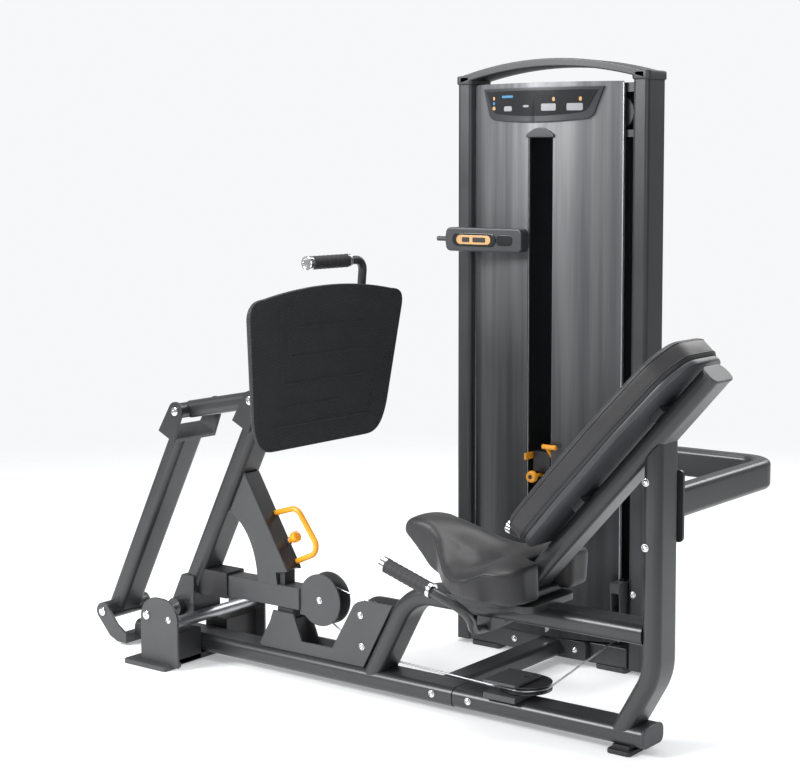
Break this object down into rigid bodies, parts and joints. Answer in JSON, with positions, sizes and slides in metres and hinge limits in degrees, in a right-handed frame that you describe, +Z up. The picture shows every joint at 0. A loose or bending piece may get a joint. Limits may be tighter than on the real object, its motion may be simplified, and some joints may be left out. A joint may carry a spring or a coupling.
{
  "type": "seated leg press machine",
  "caption": "Selectorised seated leg press: four-bar footplate linkage, saddle seat and inclined back pad on a floor rail, with a shrouded weight tower beside it.",
  "frame": {"origin": "centre of the bounding box footprint, on the floor", "axes": "+X along the floor rail from the footplate linkage to the seat back, +Y from the user side to the weight tower, +Z up"},
  "size_m": [2.0288, 1.009, 1.7225],
  "materials": {
    "frame_coat": "satin charcoal powder coat",
    "rubber": "moulded matt rubber",
    "vinyl": "grained black upholstery vinyl",
    "chrome": "polished chrome",
    "steel": "plain steel",
    "yellow_coat": "orange-yellow gloss coat",
    "silver_panel": "brushed grey metallic panel",
    "black_plastic": "satin moulded plastic",
    "cast_iron": "black painted iron"
  },
  "bodies": {
    "frame": {"back_pad": "vinyl", "back_tube": "frame_coat", "cable_anchor": "cast_iron", "crossbeam": "frame_coat", "foot_cross_tube": "steel", "front_foot": "frame_coat", "front_shroud": "silver_panel", "grip_far": "rubber", "grip_near": "rubber", "guide_rod_left": "chrome", "guide_rod_right": "chrome", "handle_bar": "frame_coat", "lever_bumper": "rubber", "lever_cable": "steel", "main_cable": "steel", "placard": "black_plastic", "press_arm_shaft": "chrome", "pulley_frame": "frame_coat", "rail_front": "frame_coat", "rail_pulley_bracket": "frame_coat", "rail_rear": "frame_coat", "rear_bracket": "frame_coat", "rear_foot": "rubber", "rear_link_lower_pin": "chrome", "rear_shroud": "black_plastic", "rep_counter": "black_plastic", "seat_pad": "vinyl", "seat_riser": "frame_coat", "seat_upright": "frame_coat", "stack_cable": "steel", "stop_bracket": "frame_coat", "top_cap": "black_plastic", "tower_base": "frame_coat", "tower_link": "frame_coat", "tower_post_left": "frame_coat", "tower_post_right": "frame_coat", "tower_pulley_bracket": "frame_coat", "weight_stack": "cast_iron"},
    "rear_link": {"rear_link": "frame_coat", "rear_link_upper_pin": "chrome"},
    "press_arm": {"press_arm": "frame_coat", "lever": "frame_coat", "adjust_handle": "yellow_coat", "press_arm_upper_pin": "chrome"},
    "footplate": {"coupler": "frame_coat", "footplate_carrier": "frame_coat", "footplate_pad": "rubber", "top_handle": "frame_coat", "top_grip": "rubber"},
    "stack": {"top_plate": "cast_iron", "selector_rod": "chrome"},
    "selector_pin": {"selector_pin": "yellow_coat"},
    "increment_lever": {"increment_lever": "yellow_coat"},
    "pop_pin": {"pop_pin": "yellow_coat"},
    "lever_pulley": {"lever_pulley": "cast_iron"},
    "lower_pulley": {"lower_pulley": "cast_iron"},
    "rail_pulley": {"rail_pulley": "cast_iron"},
    "tower_pulley": {"tower_pulley": "cast_iron"},
    "top_pulley_centre": {"top_pulley_centre": "cast_iron"},
    "top_pulley_side": {"top_pulley_side": "cast_iron"}
  },
  "joints": [
    {"name": "press", "type": "hinge", "parent": "frame", "child": "press_arm", "pos_m": [-0.69946, -0.1815, 0.145], "axis": [0, -1, 0], "range_deg": [0, 40], "deforming": ["lever_cable"]},
    {"name": "footplate_tilt", "type": "hinge", "parent": "press_arm", "child": "footplate", "pos_m": [-0.38946, -0.1815, 0.775], "axis": [0, -1, 0], "range_deg": [-40, 0]},
    {"name": "rear_link_swing", "type": "hinge", "parent": "frame", "child": "rear_link", "pos_m": [-0.98746, -0.1815, 0.09], "axis": [0, -1, 0], "range_deg": [0, 40]},
    {"name": "stack_lift", "type": "slide", "parent": "frame", "child": "stack", "axis": [0, 0, 1], "range_m": [0, 0.605], "deforming": ["stack_cable"]},
    {"name": "selector_pin_pull", "type": "slide", "parent": "stack", "child": "selector_pin", "axis": [0, -1, 0], "range_m": [0, 0.045]},
    {"name": "increment_flip", "type": "hinge", "parent": "stack", "child": "increment_lever", "pos_m": [0.17154, 0.3565, 0.592], "axis": [1, 0, 0], "range_deg": [0, 35]},
    {"name": "pop_pin_pull", "type": "slide", "parent": "press_arm", "child": "pop_pin", "axis": [0.8545, 0, 0.5195], "range_m": [0, 0.012], "stiffness_N_per_m": 600, "springref_m": -0.01},
    {"name": "lever_pulley_spin", "type": "hinge", "parent": "press_arm", "child": "lever_pulley", "pos_m": [-0.19446, -0.1815, 0.23], "axis": [0, 1, 0], "range_deg": [0, 436]},
    {"name": "lower_pulley_spin", "type": "hinge", "parent": "frame", "child": "lower_pulley", "pos_m": [-0.03546, -0.1815, 0.13], "axis": [0, 1, 0], "range_deg": [0, 1152]},
    {"name": "rail_pulley_spin", "type": "hinge", "parent": "frame", "child": "rail_pulley", "pos_m": [0.45554, -0.1585, 0.1], "axis": [0, 0, -1], "range_deg": [0, 560]},
    {"name": "tower_pulley_spin", "type": "hinge", "parent": "frame", "child": "tower_pulley", "pos_m": [0.42354, 0.3745, 0.144], "axis": [-1, 0, 0], "range_deg": [0, 787]},
    {"name": "top_pulley_centre_spin", "type": "hinge", "parent": "frame", "child": "top_pulley_centre", "pos_m": [0.21554, 0.4185, 1.568], "axis": [0, 1, 0], "range_deg": [0, 787]},
    {"name": "top_pulley_side_spin", "type": "hinge", "parent": "frame", "child": "top_pulley_side", "pos_m": [0.37954, 0.4185, 1.568], "axis": [0, 1, 0], "range_deg": [0, 787]}
  ],
  "couplings": [
    {"joint": "footplate_tilt", "follows": "press", "ratio": -1},
    {"joint": "rear_link_swing", "follows": "press", "ratio": 1},
    {"joint": "stack_lift", "follows": "press", "m_per_rad": 0.86},
    {"joint": "lever_pulley_spin", "follows": "press", "ratio": 10.773},
    {"joint": "lower_pulley_spin", "follows": "press", "ratio": 28.667},
    {"joint": "rail_pulley_spin", "follows": "press", "ratio": 13.871},
    {"joint": "tower_pulley_spin", "follows": "press", "ratio": 19.546},
    {"joint": "top_pulley_centre_spin", "follows": "press", "ratio": 19.546},
    {"joint": "top_pulley_side_spin", "follows": "press", "ratio": 19.546}
  ]
}
